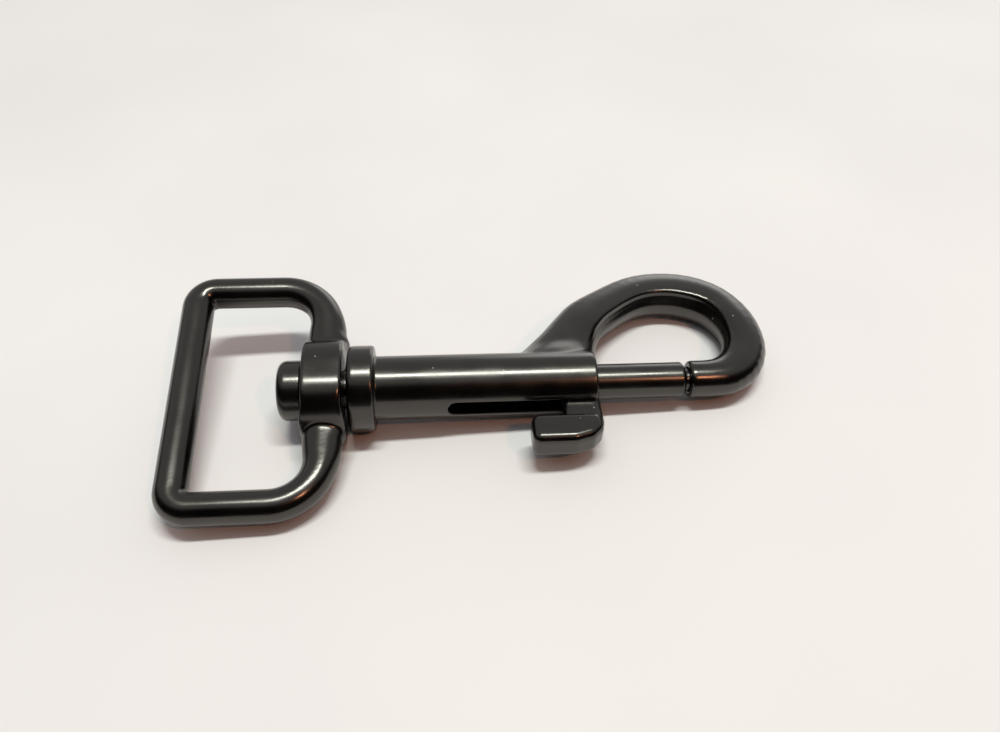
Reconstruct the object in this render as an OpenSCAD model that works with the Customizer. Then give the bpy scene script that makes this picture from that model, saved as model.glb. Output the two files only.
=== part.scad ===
// Swivel snap hook with a strap eye: a cast hook with a sliding sprung bolt.
// The barrel's axis is the X axis, the hook arches to +Y and the thumb knob is on -Y.
// The origin is the centre of the strap eye's opening, on that axis. Sizes are in millimetres.

/* [Strap eye] */
// Width of the strap that the eye takes
strap_w = 30; // [20:1:38]
// Room beside the strap, at each edge
strap_room = 0.2; // [0.1:0.1:1]
// Depth of the opening, from the strap bar to the hub side
eye_depth = 14.8; // [12:0.1:20]
// Thickness of the eye's round bars
eye_bar_d = 4.6; // [3.6:0.1:5.4]
// Thickness of the arms where they join the hub
eye_arm_d = 5; // [4.6:0.1:5]
// Radius of the wide corners beside the hub, on the bar's centre line
eye_shoulder_r = 6.8; // [5:0.1:9]
// Radius of the tight corners at the strap bar, on the bar's centre line
eye_heel_r = 2.7; // [2.7:0.1:4]
// Thickness of the hub that turns on the swivel pin
hub_d = 12.3; // [10.5:0.1:13]
// Length of the flat on the hub, along the arms
hub_flat = 2.2; // [0.5:0.1:3]
// Length of the hub along the pin
hub_l = 5.1; // [5.1:0.1:8]
// Set-back of the hub from the arms' centre line, towards the strap
hub_back = 0.2; // [0:0.1:0.4]
// Angle at which the eye lies when the hook rests on a table
eye_lean = 12; // [0:1:20]

/* [Swivel pin] */
// Diameter of the button head
pin_head_d = 8.6; // [7.5:0.1:10]
// Length of the button head
pin_head_l = 3.4; // [2.5:0.1:5]
// Radius of the button head's rounded edge
pin_head_r = 1.2; // [0.4:0.1:1.8]
// Depth to which the shank is pressed into the barrel
pin_grip = 8; // [5:0.5:10]
// Radial running clearance of the hub on the pin
swivel_clear = 0.05; // [0.02:0.01:0.1]
// End play of the hub, at the collar
swivel_play = 1.05; // [0.3:0.05:1.2]
// Gap between the hub and the button head
head_gap = 0.25; // [0.1:0.05:0.4]

/* [Barrel] */
// Outside diameter of the barrel
barrel_d = 9.2; // [8:0.1:11]
// Length of the barrel from the collar's back face to the mouth
barrel_l = 35.2; // [33:0.1:45]
// Diameter of the collar at the swivel end
collar_d = 12.3; // [11.5:0.1:14]
// Length of the collar
collar_l = 3.7; // [2.5:0.1:6]
// Edge round of the collar, on the hub's side
collar_r = 0.7; // [0.3:0.1:1]
// Edge round of the collar's front, the hub and the barrel's mouth
edge_r = 0.4; // [0.2:0.1:0.6]
// Width of the slot that guides the thumb knob
slot_w = 2.4; // [2:0.1:3]
// Length of the slot from the barrel's mouth
slot_l = 21.3; // [20:0.1:25]

/* [Bolt] */
// Diameter of the sliding bolt
bolt_d = 5.2; // [4.4:0.1:5.6]
// Radial running clearance of the bolt in the barrel
bolt_clear = 0.05; // [0.02:0.01:0.1]
// Length of the bolt inside the barrel when the hook is shut
bolt_engaged = 8; // [7.5:0.5:11]
// Chamfer at the bolt's ends
bolt_chamfer = 0.4; // [0.2:0.1:0.8]
// Gap between the shut bolt and the hook's nose
nose_gap = 0.75; // [0.5:0.05:1.5]
// Diameter of the bolt's tip, which seats in the nose
tip_d = 3.4; // [2.8:0.1:3.8]
// Depth of the tip in the nose
tip_seat = 0.7; // [0.5:0.1:1.2]
// Clearance round the seated tip
tip_clear = 0.15; // [0.1:0.05:0.3]

/* [Thumb knob] */
// Length of the neck along the slot
neck_l = 5.6; // [4.5:0.1:6.4]
// Clearance of the neck in the slot, at each side
neck_clear = 0.2; // [0.1:0.05:0.3]
// Depth of the neck in the bolt
neck_seat = 1.4; // [1:0.1:1.8]
// Length of the thumb paddle
paddle_l = 10; // [8:0.1:13]
// Thickness of the paddle across the slot
paddle_t = 4.3; // [3:0.1:5]
// Distance of the neck's front end past the barrel's mouth
knob_past = 0.4; // [0:0.1:1]
// Set-back of the paddle's front end behind the neck's
paddle_back = 0.4; // [0:0.1:1]
// Reach of the paddle, from its inner to its outer face
paddle_reach = 4.9; // [3:0.1:6]
// Gap between the barrel and the paddle
paddle_gap = 2.6; // [1:0.1:5]
// Radius of the paddle's edges
paddle_r = 1.2; // [0.6:0.1:1.5]
// Length of the long curve at the paddle's front outer corner
paddle_slant = 3; // [1.5:0.1:4]
// Depth to which that curve sets the corner in
paddle_set_in = 1.5; // [0.5:0.1:2]

/* [Return spring] */
// Wire thickness of the spring
wire_d = 0.5; // [0.4:0.05:0.6]
// Room between the coil and the bore
coil_clear = 0.3; // [0.2:0.05:0.5]
// Number of turns
coil_turns = 9; // [6:1:12]

/* [Hook] */
// Length of the opening that the bolt closes
throat_l = 14.1; // [12:0.1:17]
// Height of the hook's opening above the barrel's axis
throat_h = 17.6; // [15:0.1:22]
// Width of the hook's bar, seen from above
hook_w = 6; // [5:0.1:7]
// Thickness of the hook's bar
hook_t = 5.8; // [5.2:0.1:6.6]
// Diameter of the rounded nose
nose_d = 5.5; // [5:0.1:6.4]

/* [Hidden] */
$fn = 64;
// Steps round the paddle's edge rounds
ball_steps = 24;
// Overlap of a cut past the face that it opens
over = 0.1;
// Finish colours
gunmetal = [0.13, 0.13, 0.135];
spring_steel = [0.55, 0.55, 0.56];

// Places along the X axis, from the centre of the eye's opening
eye_bar_r = eye_bar_d / 2;
eye_half_w = strap_w / 2 + strap_room + eye_bar_r;
strap_bar_x = -eye_depth / 2 - eye_bar_r;
arm_x = eye_depth / 2 + eye_bar_r;
hub_x1 = arm_x - hub_back + hub_l / 2;
hub_x0 = hub_x1 - hub_l;
hub_r = hub_d / 2;
pin_head_x = hub_x0 - head_gap;
collar_x = hub_x1 + swivel_play;
mouth_x = collar_x + barrel_l;
nose_x = mouth_x + throat_l;
bolt_x1 = nose_x - nose_gap;
bolt_x0 = mouth_x - bolt_engaged;
pin_end_x = collar_x + pin_grip;
slot_end_x = mouth_x - slot_l;
// Fitted diameters
bore_d = bolt_d + 2 * bolt_clear;
hub_bore_d = bore_d + 2 * swivel_clear;
tip_bore_d = tip_d + 2 * tip_clear;
neck_w = slot_w - 2 * neck_clear;
// The knob stands level with the barrel's mouth
knob_x1 = mouth_x + knob_past;
paddle_x1 = knob_x1 - paddle_back;
neck_y0 = -bolt_d / 2 + neck_seat;
paddle_y1 = -barrel_d / 2 - paddle_gap;

// Rounded bar of diameter d from x0 to x1 along the X axis
module x_rod(d, x0, x1) {
    translate([x0, 0, 0]) rotate([0, 90, 0]) cylinder(d = d, h = x1 - x0);
}

// Turned piece on the X axis: a cylinder with an edge round at each end
module x_turned(d, x0, x1, r0, r1) {
    rotate([0, 90, 0]) rotate_extrude() rounded_profile(d, x0, x1, r0, r1);
}

// Half of a turned piece's outline, with its edge rounds
module rounded_profile(d, x0, x1, r0, r1) {
    difference() {
        translate([0, x0]) square([d / 2, x1 - x0]);
        translate([d / 2 - r0, x0 + r0]) edge_corner(r0, -1);
        translate([d / 2 - r1, x1 - r1]) edge_corner(r1, 1);
    }
}

// The waste outside a quarter round of radius r, on the end that side points to
module edge_corner(r, side) {
    difference() {
        translate([0, side > 0 ? 0 : -r - over]) square(r + over);
        circle(r);
    }
}

// Quarter bend of the eye's bar: centre at [x, y], turned by a
module eye_bend(x, y, r, a) {
    translate([x, y, 0]) rotate([0, 0, a]) rotate_extrude(angle = 90) translate([r, 0]) circle(eye_bar_r);
}

// One half of the eye, on the side of +Y or -Y
module eye_half(side) {
    mirror([0, side > 0 ? 0 : 1, 0]) {
        shoulder_x = arm_x - eye_shoulder_r;
        shoulder_y = eye_half_w - eye_shoulder_r;
        heel_x = strap_bar_x + eye_heel_r;
        heel_y = eye_half_w - eye_heel_r;
        translate([strap_bar_x, 0, 0]) rotate([-90, 0, 0]) cylinder(r = eye_bar_r, h = heel_y);
        eye_bend(heel_x, heel_y, eye_heel_r, 90);
        translate([0, eye_half_w, 0]) x_rod(eye_bar_d, heel_x, shoulder_x);
        eye_bend(shoulder_x, shoulder_y, eye_shoulder_r, 0);
        translate([arm_x, 0, 0]) rotate([-90, 0, 0]) cylinder(d1 = eye_arm_d, d2 = eye_bar_d, h = shoulder_y);
    }
}

// The hub: two round ends and the flat between them
module hub() {
    for (side = [-1, 1]) translate([0, side * hub_flat / 2, 0]) x_turned(hub_d, hub_x0, hub_x1, edge_r, edge_r);
    for (face = [0, 1]) mirror([0, 0, face]) rotate([90, 90, 0])
        linear_extrude(height = hub_flat, center = true) rounded_profile(hub_d, hub_x0, hub_x1, edge_r, edge_r);
}

module strap_eye() {
    color(gunmetal) rotate([eye_lean, 0, 0]) difference() {
        union() {
            eye_half(1);
            eye_half(-1);
            hub();
        }
        x_rod(hub_bore_d, hub_x0 - hub_l, hub_x1 + hub_l);
    }
}

module swivel_pin() {
    color(gunmetal) {
        x_turned(pin_head_d, pin_head_x - pin_head_l, pin_head_x, pin_head_r, edge_r / 2);
        x_rod(bore_d, pin_head_x - pin_head_r, pin_end_x);
    }
}

// Stations of the hook's bar, from its root in the barrel to the nose. Each has the inner edge
// as parts of the opening's length and height, the direction and width of the bar outwards
// from there, its thickness, and how round its inner side is, from flats at 0 to a rod at 1
hook_stations = [
    [0.04, 0.06, 178, 2.70, 1.40, 0.5],
    [0.07, 0.22, 178, 2.08, 1.34, 0.5],
    [0.09, 0.40, 170, 1.49, 1.20, 0.3],
    [0.14, 0.56, 160, 1.18, 1.10, 0.1],
    [0.25, 0.71, 148, 1.04, 1.03, 0.0],
    [0.46, 0.86, 135, 0.92, 1.00, 0.0],
    [0.71, 0.97, 116, 0.88, 1.00, 0.0],
    [0.96, 1.00, 93, 0.88, 1.00, 0.0],
    [1.22, 0.96, 68, 0.91, 1.00, 0.0],
    [1.43, 0.84, 40, 0.95, 1.00, 0.0],
    [1.54, 0.64, 14, 1.01, 1.00, 0.0],
    [1.53, 0.43, -12, 1.06, 1.00, 0.1],
    [1.43, 0.27, -38, 1.09, 0.98, 0.3],
    [1.30, 0.18, -62, 1.02, 0.96, 0.7],
    [1.17, 0.156, -82, 0.92, 0.95, 1.0]
];

// Point of a smooth curve through the values v, at station i and share t of the way to the next
function smooth(v, i, t) =
    let (p0 = v[max(i - 1, 0)], p1 = v[i], p2 = v[i + 1], p3 = v[min(i + 2, len(v) - 1)])
    (2 * p1 + (p2 - p0) * t + (2 * p0 - 5 * p1 + 4 * p2 - p3) * t ^ 2 + (3 * p1 - 3 * p2 + p3 - p0) * t ^ 3) / 2;

// Steps between stations, and points round a section
hook_steps = 3;
ring_points = 32;
// How far the inner wall departs from a round, towards two drafted flats that meet in the middle
wall_bulge = 0.5;
// Section of the bar at a station: a round back, and drafted inner flats where the last value is 0
function ring_at(s) =
    let (inner = [mouth_x + s[0] * throat_l, s[1] * throat_h], out = [cos(s[2]), sin(s[2])])
    let (half_w = s[3] * hook_w / 2, half_t = hook_t * s[4] / 2)
    [for (j = [0 : ring_points - 1])
        let (a = j * 360 / ring_points, bulge = cos(a) < 0 ? wall_bulge * (1 - s[5]) : 0)
        let (u = sign(cos(a)) * abs(cos(a)) ^ (1 - bulge), w = sign(sin(a)) * abs(sin(a)) ^ (1 + bulge))
        [inner[0] + out[0] * half_w * (1 + u), inner[1] + out[1] * half_w * (1 + u), half_t * w]];

// Skin over a row of sections with the same number of points, closed at both ends
module skin(rings) {
    n = len(rings[0]);
    last = len(rings) - 1;
    points = [for (ring = rings) each ring];
    sides = [for (i = [0 : last - 1], j = [0 : n - 1])
        [i * n + j, (i + 1) * n + j, (i + 1) * n + (j + 1) % n, i * n + (j + 1) % n]];
    first_cap = [for (j = [0 : n - 1]) j];
    last_cap = [for (j = [n - 1 : -1 : 0]) last * n + j];
    polyhedron(points, concat(sides, [first_cap, last_cap]));
}

// The hook's bar as far as the nose, whose last stretch is a round rod on the axis
module hook_arch() {
    last = len(hook_stations) - 1;
    bend = [for (i = [0 : last - 1], k = [0 : hook_steps - 1]) smooth(hook_stations, i, k / hook_steps)];
    skin([for (s = concat(bend, [hook_stations[last]])) ring_at(s)]);
}

module hook_body() {
    color(gunmetal) difference() {
        union() {
            x_turned(barrel_d, collar_x + collar_r, mouth_x, edge_r / 2, edge_r / 2);
            x_turned(collar_d, collar_x, collar_x + collar_l, collar_r, edge_r);
            hook_arch();
            x_turned(nose_d, nose_x, nose_x + nose_d / 2, edge_r, edge_r);
        }
        x_rod(bore_d, collar_x - over, mouth_x + hook_w / 2);
        slot();
        x_rod(tip_bore_d, nose_x - over, nose_x + tip_seat + tip_clear);
    }
}

// Guide slot with a round rear end, through the wall of the barrel on the side of -Y
module slot() {
    depth = barrel_d / 2 + over;
    translate([slot_end_x + slot_w / 2, -depth, 0]) rotate([-90, 0, 0]) cylinder(d = slot_w, h = depth);
    translate([slot_end_x + slot_w / 2, -depth, -slot_w / 2]) cube([slot_l, depth, slot_w]);
}

module bolt() {
    color(gunmetal) difference() {
        union() {
            rotate([0, 90, 0]) rotate_extrude() polygon([
                [0, bolt_x0], [bolt_d / 2 - bolt_chamfer, bolt_x0], [bolt_d / 2, bolt_x0 + bolt_chamfer],
                [bolt_d / 2, bolt_x1 - bolt_chamfer], [bolt_d / 2 - bolt_chamfer, bolt_x1], [0, bolt_x1]]);
            x_rod(tip_d, bolt_x1 - bolt_chamfer, nose_x + tip_seat);
        }
        neck();
    }
}

// Neck of the knob, a bar with rounded ends that is pressed into the bolt's side
module neck() {
    length = neck_y0 - paddle_y1 + paddle_r;
    translate([knob_x1 - neck_l, paddle_y1 - paddle_r, 0]) rotate([-90, 0, 0]) {
        translate([neck_w / 2, 0, 0]) cylinder(d = neck_w, h = length);
        translate([neck_l - neck_w / 2, 0, 0]) cylinder(d = neck_w, h = length);
        translate([neck_w / 2, -neck_w / 2, 0]) cube([neck_l - neck_w, neck_w, length]);
    }
}

// Middle of the long curve, as parts of its length and its depth
curve_middle = [0.3, 0.4];
// Middles of the edge rounds at the paddle's corners, from above: the front outer corner is a
// long curve, given by three of them
paddle_corners = [
    [paddle_x1 - paddle_l + paddle_r, paddle_y1 - paddle_r],
    [paddle_x1 - paddle_l + paddle_r, paddle_y1 - paddle_reach + paddle_r],
    [paddle_x1 - paddle_r - paddle_slant, paddle_y1 - paddle_reach + paddle_r],
    [paddle_x1 - paddle_r - curve_middle[0] * paddle_slant,
        paddle_y1 - paddle_reach + paddle_r + curve_middle[1] * paddle_set_in],
    [paddle_x1 - paddle_r, paddle_y1 - paddle_reach + paddle_r + paddle_set_in],
    [paddle_x1 - paddle_r, paddle_y1 - paddle_r]
];

module thumb_knob() {
    color(gunmetal) {
        neck();
        hull() for (corner = paddle_corners, side = [-1, 1])
            translate([corner[0], corner[1], side * (paddle_t / 2 - paddle_r)]) sphere(paddle_r, $fn = ball_steps);
    }
}

module return_spring() {
    coil_r = bore_d / 2 - coil_clear - wire_d / 2;
    rest_l = bolt_x0 - pin_end_x - wire_d;
    steps = 14;
    sides = 6;
    color(spring_steel) skin([for (i = [0 : coil_turns * steps])
        let (a = i * 360 / steps, x = pin_end_x + wire_d / 2 + rest_l * i / (coil_turns * steps))
        [for (j = [0 : sides - 1])
            let (b = j * 360 / sides, r = coil_r + wire_d / 2 * cos(b))
            [x + wire_d / 2 * sin(b), r * cos(a), r * sin(a)]]]);
}

strap_eye();
swivel_pin();
hook_body();
bolt();
thumb_knob();
return_spring();
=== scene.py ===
from math import atan2, pi, radians

import bpy
from mathutils import Matrix, Vector


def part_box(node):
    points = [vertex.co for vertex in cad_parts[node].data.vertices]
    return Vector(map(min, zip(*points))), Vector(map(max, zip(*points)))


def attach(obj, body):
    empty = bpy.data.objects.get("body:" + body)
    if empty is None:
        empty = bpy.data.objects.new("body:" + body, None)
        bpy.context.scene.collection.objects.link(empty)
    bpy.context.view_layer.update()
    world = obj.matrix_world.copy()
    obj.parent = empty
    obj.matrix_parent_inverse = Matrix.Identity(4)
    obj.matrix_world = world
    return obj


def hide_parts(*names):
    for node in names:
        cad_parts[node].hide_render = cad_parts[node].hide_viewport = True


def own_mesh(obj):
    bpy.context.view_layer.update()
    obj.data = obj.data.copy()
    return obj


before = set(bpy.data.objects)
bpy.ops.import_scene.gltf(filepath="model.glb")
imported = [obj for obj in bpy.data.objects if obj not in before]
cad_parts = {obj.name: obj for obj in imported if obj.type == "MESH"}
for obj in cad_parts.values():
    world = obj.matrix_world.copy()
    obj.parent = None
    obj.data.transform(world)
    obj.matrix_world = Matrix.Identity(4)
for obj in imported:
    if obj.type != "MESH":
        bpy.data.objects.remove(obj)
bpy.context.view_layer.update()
MM = 0.001

# The camera looks down on the hook from the knob's side, close up, as a hand-held
# camera does over a table. Its place and angles are those of the photograph.
CAMERA_PLACE = Vector((24.95, -81.8, 88.6)) * MM
CAMERA_PITCH, CAMERA_YAW, CAMERA_ROLL = radians(45.8), radians(6.67), radians(3.23)
FOCAL_LENGTH, SENSOR_WIDTH = 30.05, 36

camera = bpy.data.objects.new("camera", bpy.data.cameras.new("camera"))
bpy.context.scene.collection.objects.link(camera)
camera.data.sensor_width = SENSOR_WIDTH
camera.data.lens = FOCAL_LENGTH
camera.data.clip_start = 1 * MM
turn = Matrix.Rotation(-CAMERA_YAW, 3, "Z") @ Matrix.Rotation(pi / 2 - CAMERA_PITCH, 3, "X")
turn = turn @ Matrix.Rotation(CAMERA_ROLL, 3, "Z")
camera.matrix_world = Matrix.Translation(CAMERA_PLACE) @ turn.to_4x4()
bpy.context.scene.camera = camera
bpy.context.scene.view_settings.view_transform = "Standard"

# A sheet of white paper on the table. The hook lies on it on its collar and on the barrel's
# mouth, so the paper slopes a little against the barrel's axis.
PAPER_SIZE = 3000 * MM
PAPER_CLOUDS_A_METRE = 14.0
CLOUD_EDGES = (0.35, 0.65)
PAPER_ROUGHNESS, PAPER_GLOSS = 0.9, 0.2
COLLAR_FRONT = Vector((16.8, 0, -6.15)) * MM
MOUTH_BOTTOM = Vector((48.3, 0, -4.6)) * MM


def linear(hex_colour):
    """Linear RGBA of an sRGB hex colour."""
    shares = [int(hex_colour[i:i + 2], 16) / 255 for i in (1, 3, 5)]
    return [c / 12.92 if c <= 0.04045 else ((c + 0.055) / 1.055) ** 2.4 for c in shares] + [1]


def add_node(tree, kind, inputs, **settings):
    """Adds a node of that kind. Each input is a value to set, or another node's output to link."""
    node = tree.nodes.new(kind)
    for name, value in settings.items():
        setattr(node, name, value)
    for name, value in inputs.items():
        if isinstance(value, bpy.types.NodeSocket):
            tree.links.new(value, node.inputs[name])
        else:
            node.inputs[name].default_value = value
    return node


def uncoated_paper():
    """Uncoated white paper: matt, with a faint uneven tint."""
    material = bpy.data.materials.new("white_paper")
    material.use_nodes = True
    tree = material.node_tree
    shader = tree.nodes["Principled BSDF"]
    shader.inputs["Roughness"].default_value = PAPER_ROUGHNESS
    shader.inputs["Specular IOR Level"].default_value = PAPER_GLOSS
    place = add_node(tree, "ShaderNodeTexCoord", {})
    cloud = add_node(tree, "ShaderNodeTexNoise", {
        "Vector": place.outputs["Object"], "Scale": PAPER_CLOUDS_A_METRE, "Detail": 2.0})
    tint = add_node(tree, "ShaderNodeValToRGB", {"Fac": cloud.outputs["Fac"]})
    for stop, edge, colour in zip(tint.color_ramp.elements, CLOUD_EDGES, ("#ece9ec", "#f1eef0")):
        stop.position = edge
        stop.color = linear(colour)
    tree.links.new(tint.outputs["Color"], shader.inputs["Base Color"])
    return material


slope = atan2(MOUTH_BOTTOM.z - COLLAR_FRONT.z, MOUTH_BOTTOM.x - COLLAR_FRONT.x)
bpy.ops.object.select_all(action="DESELECT")
bpy.ops.mesh.primitive_plane_add(size=PAPER_SIZE, location=COLLAR_FRONT, rotation=(0, -slope, 0))
paper = bpy.context.object
paper.name = "paper"
paper.data.materials.append(uncoated_paper())

# Plain light. A strip lamp hangs overhead, along the barrel, and a weak warm lamp stands at the
# front right. The room is pale overhead and behind the hook, with a window low behind its tip,
# and dark on the viewer's side.
HOOK_MIDDLE = Vector((30, 0, 0)) * MM
LAMP_DISTANCE = 900 * MM
STRIP_LENGTH, STRIP_WIDTH = 500 * MM, 80 * MM
WARM_LAMP_SIZE = 40 * MM
ROOM_STRENGTH, DARK_SIDE_STRENGTH, WINDOW_GAIN = 0.47, 0.008, 3.5
# Directions of the room's pale middle and of the window, and the cosines between which each fades
ROOM_MIDDLE, ROOM_EDGES = (0, 0.59, 0.81), (0.26, 0.53)
WINDOW, WINDOW_EDGES = (0.37, 0.92, 0.14), (0.93, 0.985)


def add_lamp(name, direction, length, width, power, colour):
    """An area lamp that shines on the hook's middle, with its length along the barrel."""
    lamp = bpy.data.objects.new(name, bpy.data.lights.new(name, "AREA"))
    bpy.context.scene.collection.objects.link(lamp)
    lamp.data.shape = "RECTANGLE"
    lamp.data.size, lamp.data.size_y = length, width
    lamp.data.energy = power
    lamp.data.color = linear(colour)[:3]
    towards = Vector(direction).normalized()
    along = (Vector((1, 0, 0)) - towards * towards.x).normalized()
    lamp_turn = Matrix((along, towards.cross(along), towards)).transposed()
    lamp.matrix_world = Matrix.Translation(HOOK_MIDDLE + towards * LAMP_DISTANCE) @ lamp_turn.to_4x4()


def fade_towards(tree, direction, edges, low, high):
    """A value that goes smoothly from low to high as a look turns towards a direction."""
    look = add_node(tree, "ShaderNodeTexCoord", {}).outputs["Generated"]
    cosine = add_node(tree, "ShaderNodeVectorMath", {0: look, 1: direction}, operation="DOT_PRODUCT")
    fade = add_node(tree, "ShaderNodeMapRange", {
        "Value": cosine.outputs["Value"], "From Min": edges[0], "From Max": edges[1],
        "To Min": low, "To Max": high}, interpolation_type="SMOOTHSTEP")
    return fade.outputs["Result"]


add_lamp("overhead_strip", (0.04, 0.03, 1), STRIP_LENGTH, STRIP_WIDTH, 5.6, "#fafff6")
add_lamp("warm_lamp", (0.36, -0.50, 0.79), WARM_LAMP_SIZE, WARM_LAMP_SIZE, 0.85, "#ffaa7c")

world = bpy.data.worlds.new("room")
bpy.context.scene.world = world
world.use_nodes = True
room = world.node_tree
background = room.nodes["Background"]
background.inputs["Color"].default_value = linear("#fafaf8")
level = fade_towards(room, ROOM_MIDDLE, ROOM_EDGES, DARK_SIDE_STRENGTH, ROOM_STRENGTH)
gain = fade_towards(room, WINDOW, WINDOW_EDGES, 1.0, 1.0 + WINDOW_GAIN)
strength = add_node(room, "ShaderNodeMath", {0: level, 1: gain}, operation="MULTIPLY")
room.links.new(strength.outputs["Value"], background.inputs["Strength"])

# The hook's body is one zinc die casting: collar, slotted barrel, hook and nose. The
# casting's edges are tumbled round and its corners are filled a little. It is plated with black
# nickel, and dust shows white on it.
BODY_GRAIN, BODY_ROUNDS = 0.15 * MM, 8
MERGE_DISTANCE = 0.001 * MM
CORNER_FADE = 1.5 * MM
MOST_TRIANGLES = 180000
MOUTH_X, NOSE_X = 48.3 * MM, 62.4 * MM
# Round plug that closes the seam between the bar and the nose
PLUG_RADIUS, PLUG_LENGTH, PLUG_X = 2.75 * MM, 2.4 * MM, NOSE_X + 2.2 * MM
# Where the corners are filled, and in how many rounds: x, y, and how far out from the middle plane
ROOT_X, ROOT_Y = (MOUTH_X - 19 * MM, MOUTH_X - 1.5 * MM), (2.6 * MM, 6 * MM)
ROOT_OFF, ROOT_ROUNDS = (1.5 * MM, 5 * MM), 80
NOSE_FILL_X, NOSE_FILL_OFF, NOSE_ROUNDS = (NOSE_X + 1.5 * MM, NOSE_X + 5 * MM), 3 * MM, 30
# Plating: its gloss, the sizes of its unevenness and orange peel, and the spacing of the dust
PLATE_IOR, PLATE_TINT, PLATE_COLOUR, DUST_COLOUR = 1.75, "#fff9f2", "#020202", "#b9b5ad"
UNEVEN_SIZE, PEEL_SIZE, PEEL_HEIGHT, DUST_SPACING = 4 * MM, 0.45 * MM, 0.05 * MM, 2.6 * MM
POLISHED, DULL = -0.03, 0.05


def merged_copy(node, name):
    """A copy of a solid with its faces joined, without materials, selected and active."""
    bpy.ops.object.select_all(action="DESELECT")
    piece = bpy.data.objects.new(name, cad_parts[node].data.copy())
    bpy.context.scene.collection.objects.link(piece)
    piece.data.materials.clear()
    bpy.context.view_layer.objects.active = piece
    piece.select_set(True)
    bpy.ops.object.mode_set(mode="EDIT")
    bpy.ops.mesh.select_all(action="SELECT")
    bpy.ops.mesh.remove_doubles(threshold=MERGE_DISTANCE)
    bpy.ops.object.mode_set(mode="OBJECT")
    return piece


def cast_copy(node, body, grain, rounds, filler=None):
    """A copy of a solid, joined to a filler, with softened edges."""
    piece = merged_copy(node, node + "_casting")
    if filler:
        filler.select_set(True)
        bpy.ops.object.join()
    remesh = piece.modifiers.new("grain", "REMESH")
    remesh.mode = "VOXEL"
    remesh.voxel_size = grain
    remesh.use_smooth_shade = True
    bpy.ops.object.modifier_apply(modifier=remesh.name)
    soften = piece.modifiers.new("soften", "SMOOTH")
    soften.factor = 0.5
    soften.iterations = rounds
    bpy.ops.object.modifier_apply(modifier=soften.name)
    bpy.ops.object.shade_smooth()
    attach(piece, body)
    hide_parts(node)
    return piece


def fill_corner(piece, low, high, rounds):
    """Fills a casting's corners inside a box, fading out round it."""
    bpy.context.view_layer.objects.active = piece
    corner = piece.vertex_groups.new(name="corner")
    for vertex in piece.data.vertices:
        outside = max(max(low[i] - c, c - high[i], 0) for i, c in enumerate(vertex.co))
        if outside < CORNER_FADE:
            corner.add([vertex.index], 1 - outside / CORNER_FADE, "REPLACE")
    fill = piece.modifiers.new("fill", "SMOOTH")
    fill.vertex_group = corner.name
    fill.factor = 0.5
    fill.iterations = rounds
    bpy.ops.object.modifier_apply(modifier=fill.name)
    piece.vertex_groups.clear()


def thin_mesh(piece):
    """Takes out faces where the surface is nearly flat, down to the most that a piece may have."""
    triangles = 2 * len(piece.data.polygons)
    if triangles <= MOST_TRIANGLES:
        return
    thin = piece.modifiers.new("thin", "DECIMATE")
    thin.ratio = MOST_TRIANGLES / triangles
    bpy.context.view_layer.objects.active = piece
    bpy.ops.object.modifier_apply(modifier=thin.name)


def black_plate(name, roughness, peel, dust):
    """Black nickel plate: a dark base under a slightly warm gloss, with fine orange peel and dust."""
    material = bpy.data.materials.new(name)
    material.use_nodes = True
    tree = material.node_tree
    shader = tree.nodes["Principled BSDF"]
    shader.inputs["IOR"].default_value = PLATE_IOR
    shader.inputs["Specular Tint"].default_value = linear(PLATE_TINT)
    place = add_node(tree, "ShaderNodeTexCoord", {}).outputs["Object"]
    uneven = add_node(tree, "ShaderNodeTexNoise", {
        "Vector": place, "Scale": 1 / UNEVEN_SIZE, "Detail": 4.0})
    rough = add_node(tree, "ShaderNodeMapRange", {
        "Value": uneven.outputs["Fac"], "From Min": 0.3, "From Max": 0.7,
        "To Min": roughness + POLISHED, "To Max": roughness + DULL})
    tree.links.new(rough.outputs["Result"], shader.inputs["Roughness"])
    grain = add_node(tree, "ShaderNodeTexNoise", {
        "Vector": place, "Scale": 1 / PEEL_SIZE, "Detail": 3.0})
    bump = add_node(tree, "ShaderNodeBump", {
        "Height": grain.outputs["Fac"], "Strength": peel, "Distance": PEEL_HEIGHT})
    tree.links.new(bump.outputs["Normal"], shader.inputs["Normal"])
    specks = add_node(tree, "ShaderNodeTexVoronoi", {"Vector": place, "Scale": 1 / DUST_SPACING})
    near = add_node(tree, "ShaderNodeMath", {
        0: specks.outputs["Distance"], 1: dust}, operation="LESS_THAN")
    tone = add_node(tree, "ShaderNodeMix", {
        0: near.outputs["Value"], 6: linear(PLATE_COLOUR), 7: linear(DUST_COLOUR)}, data_type="RGBA")
    tree.links.new(tone.outputs[2], shader.inputs["Base Color"])
    return material


def rise(value, span):
    """Smooth step from 0 at the start of a span to 1 at its end."""
    start, end = span
    share = min(max((value - start) / (end - start), 0), 1)
    return share * share * (3 - 2 * share)


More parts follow.
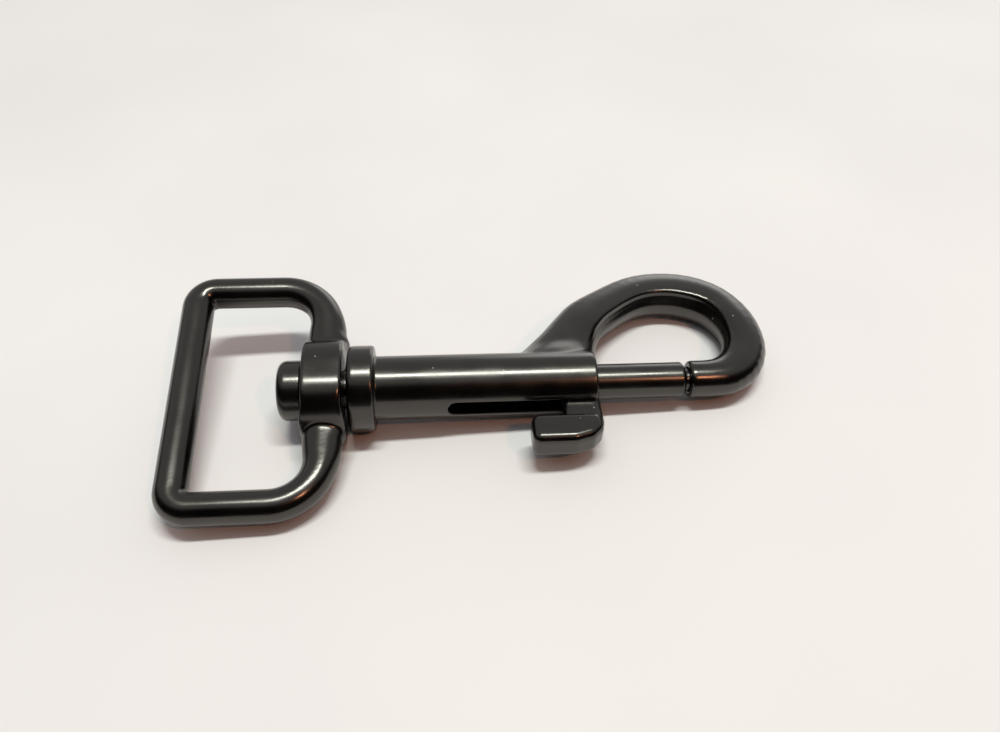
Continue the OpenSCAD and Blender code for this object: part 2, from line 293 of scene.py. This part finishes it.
# The hook's bar is drafted to a blunt ridge inside the opening, and its sides swell there. Each
# span says where a change sets in and where it is full.
BAR_START_X, BARREL_FLANK_Y = MOUTH_X - 14 * MM, 2.5 * MM
ARCH_CENTRE = (MOUTH_X + 12.5 * MM, 5 * MM)
RIDGE_DEPTH, WALL_DRAFT, RIM_OVERHANG, NOSE_LOSS = 1.5 * MM, 0.12, 0.4, 0.5
RIM_TO_BACK, RIDGE_Y = (13.5 * MM, 18 * MM), (4 * MM, 15 * MM)
NOSE_SIDE_X = (MOUTH_X + 17 * MM, MOUTH_X + 24 * MM)
WALL_Z, RIM_Z = (0, 1.2 * MM), (1.6 * MM, 2.9 * MM)
BACK_DRAFT, BEND_Y, BACK_REACH = 0.06, (6 * MM, 14 * MM), (13 * MM, 17 * MM)
ROOT_TAPER, TAPER_Y, TAPER_X = 0.12, (2.6 * MM, 6 * MM), (MOUTH_X + 4 * MM, MOUTH_X + 10 * MM)
TOP_SWELL, UNDERSIDE_SWELL, SWELL_Y = 0.04, 0.2, (3 * MM, 14 * MM)


def swell_arch(piece):
    """Thickens the hook's bar towards the opening and at its sides, and drafts its back."""
    for vertex in piece.data.vertices:
        x, y, z = vertex.co
        if x < BAR_START_X or y < BARREL_FLANK_Y:
            continue
        reach = Vector((x - ARCH_CENTRE[0], y - ARCH_CENTRE[1], 0))
        overhang = 1 - WALL_DRAFT * rise(z, WALL_Z) + RIM_OVERHANG * rise(z, RIM_Z)
        inward = 1 - rise(reach.length, RIM_TO_BACK)
        nose_side = 1 - NOSE_LOSS * rise(x, NOSE_SIDE_X)
        vertex.co -= reach.normalized() * RIDGE_DEPTH * overhang * inward * nose_side * rise(y, RIDGE_Y)
        bent = rise(y, BEND_Y)
        draft = BACK_DRAFT * bent * rise(reach.length, BACK_REACH)
        taper = ROOT_TAPER * rise(y, TAPER_Y) * (1 - bent) * (1 - rise(x, TAPER_X))
        swell = TOP_SWELL if z > 0 else UNDERSIDE_SWELL
        vertex.co.z *= (1 + swell * rise(y, SWELL_Y)) * (1 - draft) * (1 - taper)


bpy.ops.object.select_all(action="DESELECT")
bpy.ops.mesh.primitive_cylinder_add(
    vertices=64, radius=PLUG_RADIUS, depth=PLUG_LENGTH, location=(PLUG_X, 0, 0), rotation=(0, pi / 2, 0))
# Plating on a casting is glossy over a slightly wavy skin
casting_plate = black_plate("black_nickel_on_zinc", roughness=0.21, peel=0.08, dust=0.035)
hook_casting = cast_copy("hook_body", "hook", BODY_GRAIN, BODY_ROUNDS, bpy.context.object)
swell_arch(hook_casting)
for side in (-1, 1):
    low_z, high_z = sorted(side * off for off in ROOT_OFF)
    fill_corner(hook_casting, (ROOT_X[0], ROOT_Y[0], low_z), (ROOT_X[1], ROOT_Y[1], high_z), ROOT_ROUNDS)
fill_corner(hook_casting, (NOSE_FILL_X[0], -NOSE_FILL_OFF, -NOSE_FILL_OFF),
            (NOSE_FILL_X[1], NOSE_FILL_OFF, NOSE_FILL_OFF), NOSE_ROUNDS)
thin_mesh(hook_casting)
hook_casting.data.materials.append(casting_plate)

# The strap eye is a second zinc casting, a rectangular loop with a bored hub that turns on the
# swivel pin. It is tumbled and plated as the body is.
EYE_ROUNDS, ARM_ROUNDS = 10, 40
ARM_X, HUB_FRONT, ARM_SWELL, HUB_GROWTH = 9.7 * MM, 12.05 * MM, 0.22, 0.45 * MM
SWELL_START_X = ARM_X - 3.5 * MM
# Distances out from the hub's middle over which the arms swell, slim down and leave the hub
ARM_WIDENS, ARM_SLIMS, HUB_ENDS = (5.5 * MM, 7.5 * MM), (8 * MM, 14 * MM), (7 * MM, 9 * MM)
ARM_FILL_X, ARM_FILL_OFF, ARM_FILL_Z = (6.5 * MM, 12.5 * MM), (5.5 * MM, 9 * MM), (-4 * MM, 4 * MM)


def swell_arms(piece):
    """Widens the eye's arms where they run into the hub, and the hub towards the collar."""
    for vertex in piece.data.vertices:
        off = abs(vertex.co.y)
        swell = ARM_SWELL * rise(off, ARM_WIDENS) * (1 - rise(off, ARM_SLIMS))
        if vertex.co.x > SWELL_START_X:
            front = HUB_GROWTH * rise(vertex.co.x, (ARM_X, HUB_FRONT)) * (1 - rise(off, HUB_ENDS))
            vertex.co.x += (vertex.co.x - ARM_X) * swell + front


eye_casting = cast_copy("strap_eye", "eye", BODY_GRAIN, EYE_ROUNDS)
for side in (-1, 1):
    low_y, high_y = sorted(side * off for off in ARM_FILL_OFF)
    fill_corner(eye_casting, (ARM_FILL_X[0], low_y, ARM_FILL_Z[0]),
                (ARM_FILL_X[1], high_y, ARM_FILL_Z[1]), ARM_ROUNDS)
swell_arms(eye_casting)
thin_mesh(eye_casting)
eye_casting.data.materials.append(casting_plate)

# The thumb knob is a small zinc casting, a neck and a paddle. Its neck is pressed into the bolt
# through the slot, and it is plated as the body is.
KNOB_GRAIN, KNOB_ROUNDS, KNOB_FILL_ROUNDS = 0.1 * MM, 3, 30
PADDLE_FILL_Y = -7.5 * MM
knob_casting = cast_copy("thumb_knob", "bolt", KNOB_GRAIN, KNOB_ROUNDS)
knob_low, knob_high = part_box("thumb_knob")
fill_corner(knob_casting, knob_low, (knob_high[0], PADDLE_FILL_Y, knob_high[2]), KNOB_FILL_ROUNDS)
knob_casting.data.materials.append(casting_plate)

# The swivel pin and the bolt are turned steel. The pin is pressed into the barrel's rear and the
# bolt slides in its bore.
PIN_GRAIN, PIN_ROUNDS = 0.12 * MM, 4
BOLT_GRAIN, BOLT_ROUNDS = 0.1 * MM, 3
# The same plating lies finer on turned steel, so it looks smoother
turned_plate = black_plate("black_nickel_on_turned_steel", roughness=0.23, peel=0.05, dust=0.03)
pin_turned = cast_copy("swivel_pin", "hook", PIN_GRAIN, PIN_ROUNDS)
pin_turned.data.materials.append(turned_plate)
bolt_turned = cast_copy("bolt", "bolt", BOLT_GRAIN, BOLT_ROUNDS)
bolt_turned.data.materials.append(turned_plate)

# The return spring is coiled from hard drawn wire, between the pin's shank and the bolt. It
# shows only through the slot, and closes up as the bolt comes back.
WIRE_SMOOTH_ANGLE = radians(60)
WIRE_COLOUR, WIRE_GRAIN, WIRE_BRIGHT, WIRE_DULL = "#8c8c8a", 0.3 * MM, 0.25, 0.5


def drawn_wire():
    """Hard drawn spring wire: bare grey steel, bright where the die left it smooth."""
    material = bpy.data.materials.new("drawn_spring_wire")
    material.use_nodes = True
    tree = material.node_tree
    shader = tree.nodes["Principled BSDF"]
    shader.inputs["Metallic"].default_value = 1.0
    shader.inputs["Base Color"].default_value = linear(WIRE_COLOUR)
    place = add_node(tree, "ShaderNodeTexCoord", {}).outputs["Object"]
    lines = add_node(tree, "ShaderNodeTexNoise", {"Vector": place, "Scale": 1 / WIRE_GRAIN})
    rough = add_node(tree, "ShaderNodeMapRange", {
        "Value": lines.outputs["Fac"], "To Min": WIRE_BRIGHT, "To Max": WIRE_DULL})
    tree.links.new(rough.outputs["Result"], shader.inputs["Roughness"])
    return material


spring = merged_copy("return_spring", "spring_coil")
bpy.ops.object.shade_smooth_by_angle(angle=WIRE_SMOOTH_ANGLE)
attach(spring, "hook")
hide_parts("return_spring")
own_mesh(spring)
spring.data.materials.append(drawn_wire())
